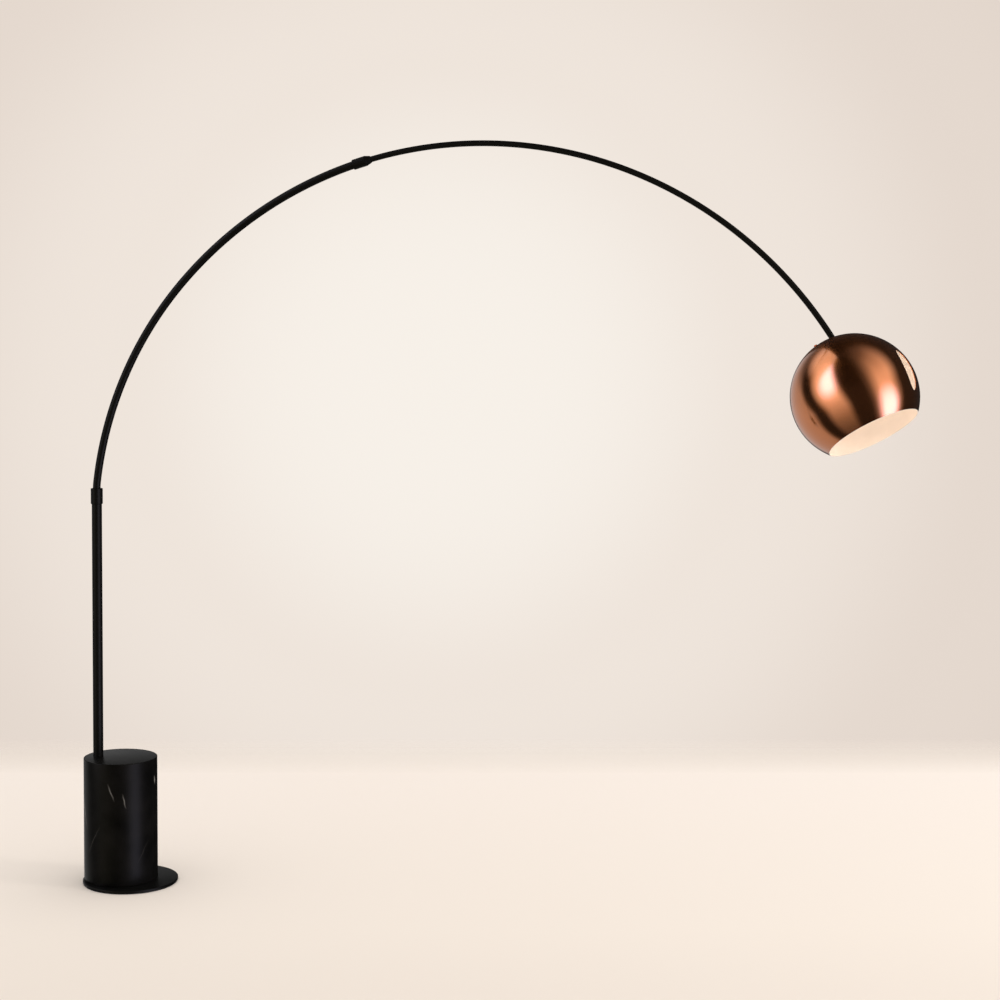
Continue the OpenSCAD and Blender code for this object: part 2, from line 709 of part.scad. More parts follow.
base_pad();
base_plate();
plate_screws();
marble_inserts();
marble_cylinder();
cable_grommet();
post_foot();
post_bolt();
post_tube();
post_bush_lower();
post_bush_upper();
lower_collar();
collar_screw();
lower_arm_tube();
thrust_ring();
joint_collar();
joint_bush();
joint_screw();
upper_arm_tube();
guide_sleeve();
tip_bush();
knuckle_fork();
swivel_clip();
hinge_bolt();
hinge_nut();
shade_yoke();
shade_pillars();
crown_screws();
shade();
holder_nipple();
nipple_nut();
holder_cap();
holder_body();
holder_base();
thread_shell();
centre_contact();
bulb_cap();
bulb_tip();
bulb_housing();
bulb_globe();
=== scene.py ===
# %% [markdown]
# # Arc floor lamp
#
# The lamp is a ball shade on a long bent arm, held up by a marble weight. The frame comes from
# the design model: every tube, collar and screw already has its true place, and this script
# gives each one its finish and a finer mesh where light plays on it. Everything is in metres,
# with the arc in the XZ plane and the floor at z = 0.

# %% Load the frame
import json
from math import atan2, cos, hypot, pi, radians, sin, sqrt, tan

import bmesh
import bpy
from mathutils import Matrix, Vector


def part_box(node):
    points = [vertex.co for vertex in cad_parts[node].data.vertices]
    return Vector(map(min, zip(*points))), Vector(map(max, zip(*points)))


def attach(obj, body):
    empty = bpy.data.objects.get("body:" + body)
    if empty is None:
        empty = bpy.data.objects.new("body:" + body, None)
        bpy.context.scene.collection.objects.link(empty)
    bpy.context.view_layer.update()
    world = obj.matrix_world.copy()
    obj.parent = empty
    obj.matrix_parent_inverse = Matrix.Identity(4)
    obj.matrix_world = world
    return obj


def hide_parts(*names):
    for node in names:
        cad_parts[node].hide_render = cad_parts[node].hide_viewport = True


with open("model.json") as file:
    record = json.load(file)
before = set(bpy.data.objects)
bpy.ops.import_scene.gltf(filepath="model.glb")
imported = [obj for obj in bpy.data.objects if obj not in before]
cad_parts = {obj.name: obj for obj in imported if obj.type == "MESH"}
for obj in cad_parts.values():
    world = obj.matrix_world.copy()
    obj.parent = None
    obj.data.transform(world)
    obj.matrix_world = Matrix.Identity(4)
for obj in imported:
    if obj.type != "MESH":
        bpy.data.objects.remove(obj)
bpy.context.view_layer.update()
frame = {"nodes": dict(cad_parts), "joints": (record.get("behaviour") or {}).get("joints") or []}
nodes = frame["nodes"]
joints = {joint["name"]: joint for joint in frame["joints"]}
MM = 0.001

# %% [markdown]
# ## The camera
#
# A lamp two metres wide looks natural through a long lens from across the room. The camera
# stands in front of the ball, at about its height, and looks across the arc, turned a little
# towards the post, so the ball is nearer than the base. It dips slightly; the rest of the
# framing is lens shift, which moves the picture without making the verticals lean.

# %% Camera
camera_data = bpy.data.cameras.new("camera")
camera_data.lens = 66.29
camera_data.sensor_width = 36
camera_data.shift_x = 0.06
camera_data.shift_y = -0.1
camera_data.clip_end = 60
camera = bpy.data.objects.new("camera", camera_data)
camera.location = (1.7373, -4.2675, 1.3434)
CAMERA_TURN = 0.2187
CAMERA_DIP = 0.0322
camera.rotation_euler = (pi / 2 - CAMERA_DIP, 0, CAMERA_TURN)
bpy.context.scene.collection.objects.link(camera)
bpy.context.scene.camera = camera
bpy.context.scene.view_settings.view_transform = "Standard"
print("camera at", tuple(camera.location))

# %% [markdown]
# ## Sizes
#
# The design's joints give the three places that everything else hangs on: the post's axis, the
# middle of the arm's large bend, and the knuckle inside the shade. The remaining sizes are the
# maker's own, written once.

# %% Sizes
post_x = joints["arm_swivel"]["pos_m"][0]
bend_2_centre = Vector(joints["arm_extend"]["pos_m"])
knuckle = Vector(joints["shade_tilt"]["pos_m"])
hinge_axis = Vector(joints["shade_tilt"]["axis"]).normalized()
arm_axis = Vector(joints["shade_turn"]["axis"]).normalized()

BEND_1_R, BEND_2_R, LEAN_R = 900 * MM, 980 * MM, 150 * MM
LEAN, BEND_1_ANGLE = radians(7.2), radians(34.8)
JOINT_ANGLE, TIP_ANGLE = radians(74), radians(147.5)
SHADE_R, SHADE_WALL = 143 * MM, 1.2 * MM
OPENING_R = 108 * MM
SHADE_OFFSET, SHADE_DROP = 20 * MM, 122 * MM
TILT_REST = radians(-16.2)
CUTOUT_LENGTH, CUTOUT_WIDTH = 98 * MM, 36 * MM
CUTOUT_ANGLE, CUTOUT_TURN = radians(94.3), radians(-3.7)

shade_up = Matrix.Rotation(TILT_REST, 3, hinge_axis) @ arm_axis
shade_side = shade_up.cross(hinge_axis)
shade_axes = Matrix((hinge_axis, shade_side, shade_up)).transposed()
ball_centre = knuckle - shade_axes @ Vector((SHADE_OFFSET, 0, SHADE_DROP))
to_ball = Matrix.Translation(ball_centre) @ shade_axes.to_4x4()
print("ball centre", tuple(round(v, 4) for v in ball_centre))

# %% [markdown]
# ## Finishes
#
# Real finishes are never one flat colour. A few helpers keep the materials short: one starts a
# shader group, one makes a colour ramp and one makes a noise. They could be written out in every
# material, but then the materials' own choices would drown in wiring.

# %% Shader helpers
def new_group(name, inputs, outputs):
    """An empty shader group with named number inputs and named outputs."""
    group = bpy.data.node_groups.new(name, "ShaderNodeTree")
    for label, value in inputs:
        socket = group.interface.new_socket(label, in_out="INPUT", socket_type="NodeSocketFloat")
        socket.default_value = value
    for label, kind in outputs:
        group.interface.new_socket(label, in_out="OUTPUT", socket_type=kind)
    return group, group.nodes.new("NodeGroupInput"), group.nodes.new("NodeGroupOutput")


def ramp(tree, source, stops):
    """A colour ramp fed by source, with (place, grey or colour) stops."""
    node = tree.nodes.new("ShaderNodeValToRGB")
    elements = node.color_ramp.elements
    while len(elements) < len(stops):
        elements.new(0.5)
    for element, (place, shade) in zip(elements, stops):
        colour = (shade, shade, shade) if isinstance(shade, (int, float)) else shade
        element.position = place
        element.color = (*colour, 1)
    tree.links.new(source, node.inputs["Fac"])
    return node.outputs["Color"]


def noise(tree, vector, scale, detail=3.0, roughness=0.5, distortion=0.0):
    """A noise texture on the given coordinates."""
    node = tree.nodes.new("ShaderNodeTexNoise")
    node.inputs["Scale"].default_value = scale
    node.inputs["Detail"].default_value = detail
    node.inputs["Roughness"].default_value = roughness
    node.inputs["Distortion"].default_value = distortion
    tree.links.new(vector, node.inputs["Vector"])
    return node.outputs["Fac"]


# %% [markdown]
# ## Clouds
#
# No coating is laid down evenly, and hands polish some places more than others. A slow noise
# on the object's own coordinates gives that, between a low and a high value. It is a group, since
# nearly every finish uses it with its own numbers.

# %% Cloud group
cloud_group, cloud_in, cloud_out = new_group(
    "surface_clouds",
    [("Scale", 8.0), ("Low", 0.3), ("High", 0.4)],
    [("Value", "NodeSocketFloat")],
)
cloud_coord = cloud_group.nodes.new("ShaderNodeTexCoord")
cloud_noise = cloud_group.nodes.new("ShaderNodeTexNoise")
cloud_noise.inputs["Detail"].default_value = 4
cloud_range = cloud_group.nodes.new("ShaderNodeMapRange")
cloud_group.links.new(cloud_coord.outputs["Object"], cloud_noise.inputs["Vector"])
cloud_group.links.new(cloud_in.outputs["Scale"], cloud_noise.inputs["Scale"])
cloud_group.links.new(cloud_noise.outputs["Fac"], cloud_range.inputs["Value"])
cloud_group.links.new(cloud_in.outputs["Low"], cloud_range.inputs["To Min"])
cloud_group.links.new(cloud_in.outputs["High"], cloud_range.inputs["To Max"])
cloud_group.links.new(cloud_range.outputs["Result"], cloud_out.inputs["Value"])
print("cloud group nodes", len(cloud_group.nodes))

# %% [markdown]
# ## Grain
#
# A baked powder coat is not quite smooth: the grains of powder melt into a fine pebble. A real
# mesh of that would be far too heavy, so a fine noise stands in as a height, which each material
# turns into a slight bump.

# %% Grain group
grain_group, grain_in, grain_out = new_group(
    "fine_grain", [("Scale", 900.0)], [("Height", "NodeSocketFloat")]
)
grain_coord = grain_group.nodes.new("ShaderNodeTexCoord")
grain_noise = grain_group.nodes.new("ShaderNodeTexNoise")
grain_noise.inputs["Detail"].default_value = 2
grain_group.links.new(grain_coord.outputs["Object"], grain_noise.inputs["Vector"])
grain_group.links.new(grain_in.outputs["Scale"], grain_noise.inputs["Scale"])
grain_group.links.new(grain_noise.outputs["Fac"], grain_out.inputs["Height"])
print("grain group nodes", len(grain_group.nodes))


# %% [markdown]
# ## A coated surface
#
# Most parts of the lamp differ only in colour, gloss and grain. `coated` builds them all: two
# close tones of the colour, cloudy roughness and a fine bump. A separate material for each part
# would say the same thing a dozen times.

# %% Material helpers
def base_material(name, colour, roughness, metallic=0.0, **sockets):
    """A Principled material and the parts of it that the finishes add to."""
    material = bpy.data.materials.new(name)
    material.use_nodes = True
    tree = material.node_tree
    shader = tree.nodes["Principled BSDF"]
    shader.inputs["Base Color"].default_value = (*colour, 1)
    shader.inputs["Roughness"].default_value = roughness
    shader.inputs["Metallic"].default_value = metallic
    for label, value in sockets.items():
        shader.inputs[label.replace("_", " ")].default_value = value
    return material, tree, shader


def add_clouds(tree, shader, socket, scale, low, high):
    """Drives one number of the shader with slow cloudy change."""
    clouds = tree.nodes.new("ShaderNodeGroup")
    clouds.node_tree = cloud_group
    clouds.inputs["Scale"].default_value = scale
    clouds.inputs["Low"].default_value = low
    clouds.inputs["High"].default_value = high
    tree.links.new(clouds.outputs["Value"], shader.inputs[socket])


def add_grain(tree, shader, scale, strength, distance):
    """Gives the surface the fine pebble of its coating."""
    grain = tree.nodes.new("ShaderNodeGroup")
    grain.node_tree = grain_group
    grain.inputs["Scale"].default_value = scale
    bump = tree.nodes.new("ShaderNodeBump")
    bump.inputs["Strength"].default_value = strength
    bump.inputs["Distance"].default_value = distance
    tree.links.new(grain.outputs["Height"], bump.inputs["Height"])
    tree.links.new(bump.outputs["Normal"], shader.inputs["Normal"])


TONE_SCALE, CLOUD_SCALE = 11.0, 9.0
GRAIN_HEIGHT = 0.05 * MM


def coated(name, colour, low, high, grain_scale=900.0, grain=0.15, metallic=0.0, **sockets):
    """A finish with two close tones, cloudy roughness between low and high, and a fine grain."""
    material, tree, shader = base_material(name, colour, low, metallic, **sockets)
    darker = tuple(part * 0.92 for part in colour)
    lighter = tuple(min(part * 1.06, 1.0) for part in colour)
    place = tree.nodes.new("ShaderNodeTexCoord").outputs["Object"]
    tone = ramp(tree, noise(tree, place, TONE_SCALE, 4), [(0.34, darker), (0.66, lighter)])
    tree.links.new(tone, shader.inputs["Base Color"])
    add_clouds(tree, shader, "Roughness", CLOUD_SCALE, low, high)
    add_grain(tree, shader, grain_scale, grain, GRAIN_HEIGHT)
    return material


# %% [markdown]
# ## Satin black, foam, nylon, brass and the other plain finishes
#
# The tubes wear a baked black powder coat: nearly black, with a soft sheen and a fine pebble.
# Small fittings are zinc, brass, nylon, phenolic or porcelain, each with its own gloss. The
# room's brightest spots carry some blue, so the black finishes have a warm sheen, which keeps
# those spots grey on them.

# %% Plain finishes
WARM_SHEEN = (1.0, 0.88, 0.55, 1)
powder_black = coated(
    "powder_black", (0.0035, 0.0035, 0.0035), 0.34, 0.46, 650, 0.02,
    Specular_IOR_Level=0.12, Specular_Tint=WARM_SHEEN,
)
foam_black = coated("foam_black", (0.02, 0.02, 0.02), 0.8, 0.95, 1400, 0.6)
rubber_black = coated("rubber_black", (0.018, 0.018, 0.018), 0.55, 0.7, 1200, 0.3)
oxide_black = coated("oxide_black", (0.02, 0.02, 0.022), 0.3, 0.45, 1200, 0.1, metallic=0.6)
zinc = coated("zinc", (0.55, 0.56, 0.58), 0.28, 0.42, 1500, 0.12, metallic=1.0)
copper_plate = coated("copper_plate", (0.8, 0.28, 0.09), 0.25, 0.38, 1500, 0.08, metallic=1.0)
brass = coated("brass", (0.78, 0.57, 0.26), 0.2, 0.32, 1500, 0.08, metallic=1.0)
nickel = coated("nickel", (0.66, 0.65, 0.62), 0.18, 0.3, 1500, 0.05, metallic=1.0)
nylon = coated("nylon", (0.82, 0.8, 0.74), 0.4, 0.5, 600, 0.1)
phenolic = coated("phenolic", (0.012, 0.012, 0.012), 0.15, 0.25, 800, 0.05)
porcelain = coated("porcelain", (0.85, 0.83, 0.78), 0.08, 0.16, 300, 0.04)
bulb_plastic = coated("bulb_plastic", (0.88, 0.87, 0.83), 0.35, 0.45, 900, 0.08)
print("materials", len(bpy.data.materials))

# %% [markdown]
# ## Black marble
#
# Honed black marble is a dark body with a soft sheen and a few short white veins. A vein is a
# healed crack: a thin, slightly wavy sheet of pale mineral that fades out at its ends. A noise
# could draw such lines anywhere; here each vein is its own sheet instead, so the stone stays
# almost plain and each vein sits where a mason would see it.

# %% Marble
marble, marble_tree, marble_shader = base_material(
    "black_marble", (0.006, 0.006, 0.006), 0.36, Specular_IOR_Level=0.09, Specular_Tint=WARM_SHEEN
)
marble_coord = marble_tree.nodes.new("ShaderNodeTexCoord").outputs["Object"]
vein_group, vein_in, vein_out = new_group(
    "marble_vein", [("Half Length", 0.02), ("Half Width", 0.001)], [("Value", "NodeSocketFloat")]
)
for label in ("Place", "Middle", "Across"):
    vein_group.interface.new_socket(label, in_out="INPUT", socket_type="NodeSocketVector")


def vein_step(operation, *inputs, vector=False):
    """One math node inside the vein group."""
    node = vein_group.nodes.new("ShaderNodeVectorMath" if vector else "ShaderNodeMath")
    node.operation = operation
    for place, value in enumerate(inputs):
        if isinstance(value, (int, float)):
            node.inputs[place].default_value = value
        else:
            vein_group.links.new(value, node.inputs[place])
    return node


offset = vein_step("SUBTRACT", vein_in.outputs["Place"], vein_in.outputs["Middle"], vector=True).outputs[0]
depth = vein_step("DOT_PRODUCT", offset, vein_in.outputs["Across"], vector=True).outputs["Value"]
thin = vein_step("DIVIDE", vein_step("ABSOLUTE", depth).outputs[0], vein_in.outputs["Half Width"]).outputs[0]
reach = vein_step("LENGTH", offset, vector=True).outputs["Value"]
faded = vein_step("DIVIDE", reach, vein_in.outputs["Half Length"]).outputs[0]
sheet = vein_step("SUBTRACT", 1.0, vein_step("MINIMUM", thin, 1.0).outputs[0]).outputs[0]
ends = vein_step("SUBTRACT", 1.0, vein_step("MINIMUM", faded, 1.0).outputs[0]).outputs[0]
vein_group.links.new(vein_step("MULTIPLY", sheet, ends).outputs[0], vein_out.inputs["Value"])
print("vein group nodes", len(vein_group.nodes))

# %% [markdown]
# ## Placing the veins
#
# A crack is never ruler-straight, so every place on the stone is first shifted by a slow noise,
# and the veins are drawn on the shifted places. Each vein is listed on its own: two bright strokes
# and a small one on the front, faint ones low down, and bolder ones round the back.

# %% Wavy coordinates
waver = marble_tree.nodes.new("ShaderNodeTexNoise")
waver.inputs["Scale"].default_value = 30.0
waver.inputs["Detail"].default_value = 4
marble_tree.links.new(marble_coord, waver.inputs["Vector"])
wave = marble_tree.nodes.new("ShaderNodeVectorMath")
wave.operation = "MULTIPLY_ADD"
WAVE = 12 * MM
wave.inputs[1].default_value = (WAVE, WAVE, WAVE)
marble_tree.links.new(waver.outputs["Color"], wave.inputs[0])
marble_tree.links.new(marble_coord, wave.inputs[2])
wave_middle = Vector((WAVE, WAVE, WAVE)) / 2
print("waviness", WAVE, "m")

# %% Veins
marble_low, marble_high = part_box("marble_cylinder")
marble_r = (marble_high.x - marble_low.x) / 2
marble_x = (marble_low.x + marble_high.x) / 2
# each vein: where round the stone (degrees), how high (mm), lean from upright (degrees), half
# length and half width (mm), and how white it is
VEINS = [
    (-83, 241, 20, 24, 2.2, 0.28), (-62, 219, 14, 20, 2.2, 0.32), (-3, 258, 8, 12, 2.6, 0.6),
    (-30, 90, -35, 34, 1.2, 0.07), (35, 150, 28, 60, 1.8, 0.6), (62, 240, -40, 42, 1.4, 0.4),
    (100, 110, 15, 70, 2.0, 0.6), (140, 230, -25, 50, 1.6, 0.5), (178, 70, 40, 55, 1.6, 0.5),
    (215, 200, 20, 65, 2.0, 0.6), (245, 120, -30, 45, 1.4, 0.1),
]
all_veins = 0.0
for turn, height, tilt, half_length, half_width, white in VEINS:
    turn, tilt = radians(turn), radians(tilt)
    out = Vector((cos(turn), sin(turn), 0))
    sideways = Vector((-sin(turn), cos(turn), 0))
    vein = marble_tree.nodes.new("ShaderNodeGroup")
    vein.node_tree = vein_group
    middle = Vector((marble_x, 0, height * MM)) + marble_r * out + wave_middle
    vein.inputs["Middle"].default_value = middle
    vein.inputs["Across"].default_value = sideways * cos(tilt) + Vector((0, 0, sin(tilt)))
    vein.inputs["Half Length"].default_value = half_length * MM
    vein.inputs["Half Width"].default_value = half_width * MM
    marble_tree.links.new(wave.outputs[0], vein.inputs["Place"])
    added = marble_tree.nodes.new("ShaderNodeMath")
    added.operation = "MULTIPLY_ADD"
    added.inputs[1].default_value = white
    marble_tree.links.new(vein.outputs["Value"], added.inputs[0])
    if all_veins:
        marble_tree.links.new(all_veins, added.inputs[2])
    else:
        added.inputs[2].default_value = 0.0
    all_veins = added.outputs[0]
print("veins", len(VEINS))

# %% [markdown]
# ## The stone's body
#
# Even the plain stone is not one black: it drifts between two very dark tones. It is honed
# rather than mirror-polished, so its roughness is fairly high and lights spread into a soft
# band.

# %% The stone's body, and its polish
body_tone = ramp(
    marble_tree, noise(marble_tree, marble_coord, 16.0, 5),
    [(0.35, (0.002, 0.002, 0.002)), (0.7, (0.006, 0.0056, 0.0054))],
)
vein_mix = marble_tree.nodes.new("ShaderNodeMix")
vein_mix.data_type = "RGBA"
marble_tree.links.new(all_veins, vein_mix.inputs["Factor"])
marble_tree.links.new(body_tone, vein_mix.inputs["A"])
vein_mix.inputs["B"].default_value = (0.5, 0.48, 0.45, 1)
marble_tree.links.new(vein_mix.outputs["Result"], marble_shader.inputs["Base Color"])
add_clouds(marble_tree, marble_shader, "Roughness", 12.0, 0.3, 0.4)
print("marble nodes", len(marble_tree.nodes))

# %% [markdown]
# ## Spun copper
#
# The shade is spun on a lathe, then brushed as it turns and lacquered. The brush leaves rings
# round the axis, so light smears along the meridians, from the crown to the rim. Anisotropy
# does that; its tangent comes from a UV map whose U runs round the ball.

# %% Copper and the enamel inside it
copper, copper_tree, copper_shader = base_material(
    "spun_copper", (0.9, 0.29, 0.085), 0.24, 1.0,
    Anisotropic=0.8, Coat_Weight=1.0, Coat_IOR=1.65, Coat_Roughness=0.1,
)
copper_shader.inputs["Anisotropic Rotation"].default_value = 0.25
copper_place = copper_tree.nodes.new("ShaderNodeTexCoord").outputs["Object"]
copper_tone = ramp(copper_tree, noise(copper_tree, copper_place, 14.0, 4), [
    (0.34, (0.87, 0.272, 0.078)), (0.66, (0.92, 0.3, 0.09)),
])
copper_tree.links.new(copper_tone, copper_shader.inputs["Base Color"])
copper_tangent = copper_tree.nodes.new("ShaderNodeTangent")
copper_tangent.direction_type = "UV_MAP"
copper_tangent.uv_map = "lathe"
copper_tree.links.new(copper_tangent.outputs["Tangent"], copper_shader.inputs["Tangent"])
copper_uv = copper_tree.nodes.new("ShaderNodeUVMap")
copper_uv.uv_map = "lathe"
brush_map = copper_tree.nodes.new("ShaderNodeMapping")
brush_map.inputs["Scale"].default_value = (3, 420, 1)
copper_tree.links.new(copper_uv.outputs["UV"], brush_map.inputs["Vector"])
brush_lines = noise(copper_tree, brush_map.outputs["Vector"], 1.0, 3, 0.6)
brush_range = copper_tree.nodes.new("ShaderNodeMapRange")
brush_range.inputs["To Min"].default_value = 0.16
brush_range.inputs["To Max"].default_value = 0.24
copper_tree.links.new(brush_lines, brush_range.inputs["Value"])
copper_tree.links.new(brush_range.outputs["Result"], copper_shader.inputs["Roughness"])

enamel = coated("warm_white_enamel", (0.88, 0.83, 0.77), 0.35, 0.45, 500, 0.05)
print("copper nodes", len(copper_tree.nodes))

# %% [markdown]
# ## The lit bulb
#
# The globe is opal glass over a small light source, so it glows evenly. A lamp placed inside the
# shade would light the enamel too, but then the globe itself would look dark; a globe that emits
# does both at once, and its warm colour is what turns the white enamel to peach.

# %% Bulb glow
opal, opal_tree, opal_shader = base_material("opal_glass", (0.95, 0.92, 0.85), 0.3)
opal_shader.inputs["Emission Color"].default_value = (1.0, 0.76, 0.6, 1)
opal_shader.inputs["Emission Strength"].default_value = 7.4
add_clouds(opal_tree, opal_shader, "Roughness", 20.0, 0.25, 0.35)
print("bulb glow", opal_shader.inputs["Emission Strength"].default_value)

# %% [markdown]
# ## Making a piece
#
# Most of the lamp is turned or bent metal. A turned piece is an outline spun about an axis; a
# bent tube is a ring pushed along its path, with straight stretches extruded and bends spun
# about their own centres, just as a tube bender does it.

# %% Piece helpers
def finish_piece(name, bm, materials, body, replaced=(), sharp=radians(32)):
    """Closes up a bmesh as a smooth-shaded piece that rides on its body."""
    bmesh.ops.remove_doubles(bm, verts=bm.verts, dist=1e-6)
    bmesh.ops.recalc_face_normals(bm, faces=bm.faces)
    for face in bm.faces:
        face.smooth = True
    mesh = bpy.data.meshes.new(name)
    bm.to_mesh(mesh)
    bm.free()
    mesh.set_sharp_from_angle(angle=sharp)
    for material in materials:
        mesh.materials.append(material)
    piece = bpy.data.objects.new(name, mesh)
    bpy.context.scene.collection.objects.link(piece)
    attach(piece, body)
    if replaced:
        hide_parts(*replaced)
    print(name, len(mesh.polygons), "faces")
    return piece


def turned(outline, steps=128):
    """A bmesh spun about the Z axis from an outline of (radius, height) points."""
    bm = bmesh.new()
    corners = [bm.verts.new((radius, 0, height)) for radius, height in outline]
    edges = [bm.edges.new(pair) for pair in zip(corners, corners[1:])]
    bmesh.ops.spin(
        bm, geom=corners + edges, cent=(0, 0, 0), axis=(0, 0, 1), angle=2 * pi, steps=steps, use_merge=True
    )
    bmesh.ops.remove_doubles(bm, verts=bm.verts, dist=1e-6)
    bmesh.ops.recalc_face_normals(bm, faces=bm.faces)
    return bm


def rounded(radius, height, edge, base=0.0, steps=5):
    """The outline of a solid disc with rounded edges, from its bottom middle to its top middle."""
    low = [
        (radius - edge + edge * sin(pi / 2 * i / steps), base + edge - edge * cos(pi / 2 * i / steps))
        for i in range(steps + 1)
    ]
    high = [(r, 2 * base + height - z) for r, z in reversed(low)]
    return [(0, base)] + low + high + [(0, base + height)]


# %% [markdown]
# ## The base
#
# A thin steel disc carries the marble weight, which stands back from the disc's middle so that
# its own weight balances the long arm. The marble's edges are eased by a small round.

# %% Plate, pad and marble
plate_low, plate_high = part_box("base_plate")
plate_r = (plate_high.x - plate_low.x) / 2
plate_height = plate_high.z - plate_low.z
base_plate = turned(rounded(plate_r, plate_height, 1 * MM, plate_low.z))
finish_piece("base_disc", base_plate, [powder_black], "base", ["base_plate"])

marble_height = marble_high.z - marble_low.z
marble_mesh = turned(rounded(marble_r, marble_height, 1.5 * MM, marble_low.z), 160)
bmesh.ops.translate(marble_mesh, verts=marble_mesh.verts, vec=(marble_x, 0, 0))
finish_piece("marble_weight", marble_mesh, [marble], "base", ["marble_cylinder"])

# %% [markdown]
# ## The bent tubes
#
# The post is straight tube; the arms are tube bent cold round formers. A bevelled curve would
# follow the same line, but a ring that is pushed along tells the same story as the bending
# machine: straight stretches are extruded, bends are spun about their own centres. The wall is
# added last, so that both ends are open tube.

# %% Tube helpers
def ring(bm, radius, place, segments=40):
    """A circle of edges lying flat at place."""
    made = bmesh.ops.create_circle(bm, cap_ends=False, radius=radius, segments=segments)
    bmesh.ops.translate(bm, verts=made["verts"], vec=place)
    return [edge for edge in bm.edges if all(v in made["verts"] for v in edge.verts)]


def extrude_up(bm, edges, height):
    """Pushes the ring straight up and returns its new edges."""
    made = bmesh.ops.extrude_edge_only(bm, edges=edges)["geom"]
    fresh = [item for item in made if isinstance(item, bmesh.types.BMVert)]
    bmesh.ops.translate(bm, verts=fresh, vec=(0, 0, height))
    return [item for item in made if isinstance(item, bmesh.types.BMEdge)]


def bend(bm, edges, centre, angle, steps):
    """Spins the ring round a bend's centre, in the XZ plane, and returns its new edges."""
    geom = list({v for edge in edges for v in edge.verts}) + edges
    made = bmesh.ops.spin(bm, geom=geom, cent=centre, axis=(0, 1, 0), angle=angle, steps=steps)
    return [item for item in made["geom_last"] if isinstance(item, bmesh.types.BMEdge)]


def give_wall(bm, wall):
    """Turns the tube's skin into a wall, inwards."""
    bmesh.ops.recalc_face_normals(bm, faces=bm.faces)
    bmesh.ops.solidify(bm, geom=bm.faces[:], thickness=wall)


# %% Post
POST_WALL, LOWER_WALL, UPPER_WALL = 1.5 * MM, 1.5 * MM, 1 * MM
post_low, post_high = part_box("post_tube")
post_r = (post_high.x - post_low.x) / 2
post_mesh = bmesh.new()
extrude_up(post_mesh, ring(post_mesh, post_r, (post_x, 0, post_low.z), 64), post_high.z - post_low.z)
give_wall(post_mesh, POST_WALL)
finish_piece("post", post_mesh, [powder_black], "base", ["post_tube"])

# %% [markdown]
# ## The lower arm
#
# This tube stands in the post, leaves it straight, and then takes three bends: a short one that
# starts the lean at the top of the collar, a wide one up the side and the first stretch of the
# large one over the top. Each bend's centre follows from where the last one ended, so the tube
# has no kinks.

# %% Lower arm
lower_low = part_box("lower_arm_tube")[0]
collar_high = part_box("lower_collar")[1]
STRAIGHT_IN_COLLAR = 2 * MM
lean_z = collar_high.z - STRAIGHT_IN_COLLAR
LOWER_R = 9.5 * MM
UPPER_R = 7 * MM


def beyond(point, radius, angle):
    """A bend's centre from its start point and the heading there, as an angle from upright."""
    return point + Vector((radius * cos(angle), 0, -radius * sin(angle)))


def along(centre, radius, angle):
    """The point of a bend where the heading is angle from upright."""
    return centre + Vector((-radius * cos(angle), 0, radius * sin(angle)))


lean_centre = Vector((post_x + LEAN_R, 0, lean_z))
bend_1_start = along(lean_centre, LEAN_R, LEAN)
bend_1_centre = beyond(bend_1_start, BEND_1_R, LEAN)
bend_2_from = LEAN + BEND_1_ANGLE
lower_mesh = bmesh.new()
front = ring(lower_mesh, LOWER_R, (post_x, 0, lower_low.z))
front = extrude_up(lower_mesh, front, lean_z - lower_low.z)
front = bend(lower_mesh, front, lean_centre, LEAN, 4)
front = bend(lower_mesh, front, bend_1_centre, BEND_1_ANGLE, 60)
bend(lower_mesh, front, bend_2_centre, JOINT_ANGLE - bend_2_from, 60)
give_wall(lower_mesh, LOWER_WALL)
finish_piece("lower_arm", lower_mesh, [powder_black], "lower_arm", ["lower_arm_tube"])

# %% [markdown]
# ## The upper arm
#
# The thinner tube is a single bend with the large radius, so that it can slide round inside the
# lower arm. It starts well inside the joint and ends in the knuckle.

# %% Upper arm
ARM_OVERLAP = 160 * MM
upper_from = JOINT_ANGLE - ARM_OVERLAP / BEND_2_R
upper_mesh = bmesh.new()
start_ring = ring(upper_mesh, UPPER_R, (0, 0, 0), 32)
upper_heading = Matrix.Rotation(upper_from, 3, "Y")
bmesh.ops.rotate(upper_mesh, verts=upper_mesh.verts, cent=(0, 0, 0), matrix=upper_heading)
bmesh.ops.translate(upper_mesh, verts=upper_mesh.verts, vec=along(bend_2_centre, BEND_2_R, upper_from))
bend(upper_mesh, start_ring, bend_2_centre, TIP_ANGLE - upper_from, 150)
give_wall(upper_mesh, UPPER_WALL)
finish_piece("upper_arm", upper_mesh, [powder_black], "upper_arm", ["upper_arm_tube"])

# %% [markdown]
# ## The shade
#
# The ball is spun from one disc of copper over a form, then trimmed where it opens. A sphere
# with a wall could be cut flat, but an outline of both faces, spun once about the crown, makes
# the wall and the rim in one move, as the lathe does.

# %% Shade shell
RIM_ANGLE = pi - atan2(OPENING_R, sqrt(SHADE_R**2 - OPENING_R**2))
ARC_STEPS = 72


def arc(radius, first, last):
    """Points along a meridian, by angle from the crown."""
    angles = [first + (last - first) * i / ARC_STEPS for i in range(ARC_STEPS + 1)]
    return [(radius * sin(a), radius * cos(a)) for a in angles]


inner_r = SHADE_R - SHADE_WALL
opening_z = SHADE_R * cos(RIM_ANGLE)
inner_rim = pi - atan2(sqrt(inner_r**2 - opening_z**2), -opening_z)
shell_outline = arc(SHADE_R, 0, RIM_ANGLE) + arc(inner_r, inner_rim, 0)
shade_mesh = turned(shell_outline, 144)
print("opening", round(-opening_z, 4), "m below the ball's middle")

